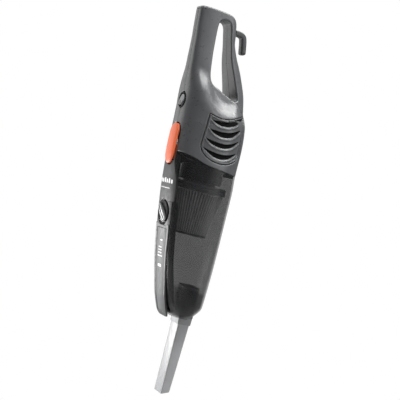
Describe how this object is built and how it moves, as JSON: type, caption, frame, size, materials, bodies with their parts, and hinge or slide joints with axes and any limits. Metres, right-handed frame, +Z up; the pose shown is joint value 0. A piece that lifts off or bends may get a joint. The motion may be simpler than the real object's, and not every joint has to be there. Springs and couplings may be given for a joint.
{
  "type": "handheld vacuum",
  "caption": "Upright handheld vacuum cleaner with a loop handle, louvred motor housing, clear dust cup holding a pleated filter, sprung release button, dial and crevice tool.",
  "frame": {"origin": "on the inner face of the rear grip, in the left-right middle plane, level with the middle of the hand opening", "axes": "+Z up the long axis towards the top of the handle, the crevice tool at -Z; -Y is the front with switch, button and dial; +X is the side to the right seen from the front turned to face +Y"},
  "size_m": [0.096, 0.1159, 0.5535],
  "materials": {
    "body_plastic": "satin dark grey",
    "foam": "open-cell foam",
    "rubber": "matt",
    "steel": "plain",
    "black_plastic": "fine grain",
    "orange_plastic": "satin",
    "grey_plastic": "satin",
    "silver_trim": "silver",
    "aluminium": "plain",
    "copper": "lacquered wire",
    "filter_paper": "pleated paper",
    "smoked_plastic": "clear, smoked",
    "tool_plastic": "satin light grey"
  },
  "bodies": {
    "housing": {"housing_left": "body_plastic", "housing_right": "body_plastic", "vent_panel_left": "body_plastic", "vent_panel_right": "body_plastic", "vent_foam_left": "foam", "vent_foam_right": "foam", "cord_inlet": "rubber", "housing_screw_1": "steel", "housing_screw_2": "steel", "housing_screw_3": "steel", "housing_screw_4": "steel", "housing_screw_5": "steel", "housing_screw_6": "steel", "switch_body": "black_plastic", "button_spring": "steel", "latch_frame": "black_plastic", "motor_can": "steel", "field_winding": "copper", "carbon_brush_left": "black_plastic", "carbon_brush_right": "black_plastic", "fan_cover": "aluminium", "motor_mount": "rubber", "fan_seal": "rubber", "motor_guard": "black_plastic", "lead_live": "rubber", "lead_neutral": "rubber", "cup_seal": "rubber"},
    "fan_rotor": {"armature": "steel", "impeller": "aluminium"},
    "rocker": {"switch_rocker": "black_plastic"},
    "button": {"release_button": "orange_plastic"},
    "hook": {"cord_hook": "body_plastic"},
    "cap": {"socket_cap": "grey_plastic"},
    "filter": {"filter_frame": "black_plastic", "filter_pleats": "filter_paper", "filter_cap": "black_plastic"},
    "cup": {"dust_cup": "smoked_plastic", "front_panel": "grey_plastic", "dial_seat": "black_plastic", "spine_frame": "grey_plastic", "spine_inlay": "silver_trim", "nozzle_collar": "grey_plastic"},
    "dial": {"dial_knob": "grey_plastic"},
    "flap": {"inlet_flap": "rubber"},
    "tool": {"crevice_tool": "tool_plastic"}
  },
  "joints": [
    {"name": "cup_slide", "type": "slide", "parent": "housing", "child": "cup", "axis": [0, 0, -1], "range_m": [0, 0.2]},
    {"name": "filter_slide", "type": "slide", "parent": "housing", "child": "filter", "axis": [0, 0, -1], "range_m": [0, 0.1]},
    {"name": "tool_slide", "type": "slide", "parent": "cup", "child": "tool", "axis": [0, 0, -1], "range_m": [0, 0.045]},
    {"name": "button_press", "type": "slide", "parent": "housing", "child": "button", "axis": [0, 1, 0], "range_m": [0, 0.003], "stiffness_N_per_m": 900, "springref_m": -0.002, "deforming": ["button_spring"]},
    {"name": "switch_rock", "type": "hinge", "parent": "housing", "child": "rocker", "pos_m": [0, -0.0555, -0.06], "axis": [1, 0, 0], "range_deg": [0, 12]},
    {"name": "dial_turn", "type": "hinge", "parent": "cup", "child": "dial", "pos_m": [0, -0.0456, -0.2224], "axis": [0, -0.9863, -0.165], "range_deg": [0, 90]},
    {"name": "hook_swivel", "type": "hinge", "parent": "housing", "child": "hook", "pos_m": [0, -0.004, 0.0535], "axis": [0, 1, 0], "range_deg": [0, 180]},
    {"name": "flap_lift", "type": "hinge", "parent": "cup", "child": "flap", "pos_m": [0, 0.014, -0.3197], "axis": [1, 0, 0], "range_deg": [0, 45]},
    {"name": "fan_spin", "type": "hinge", "parent": "housing", "child": "fan_rotor", "pos_m": [0, 0, -0.1], "axis": [0, 0, 1], "continuous": true},
    {"name": "cap_lift", "type": "slide", "parent": "housing", "child": "cap", "axis": [0, 0, 1], "range_m": [0, 0.016]}
  ],
  "couplings": [
    {"joint": "filter_slide", "follows": "cup_slide", "ratio": 0.5}
  ]
}
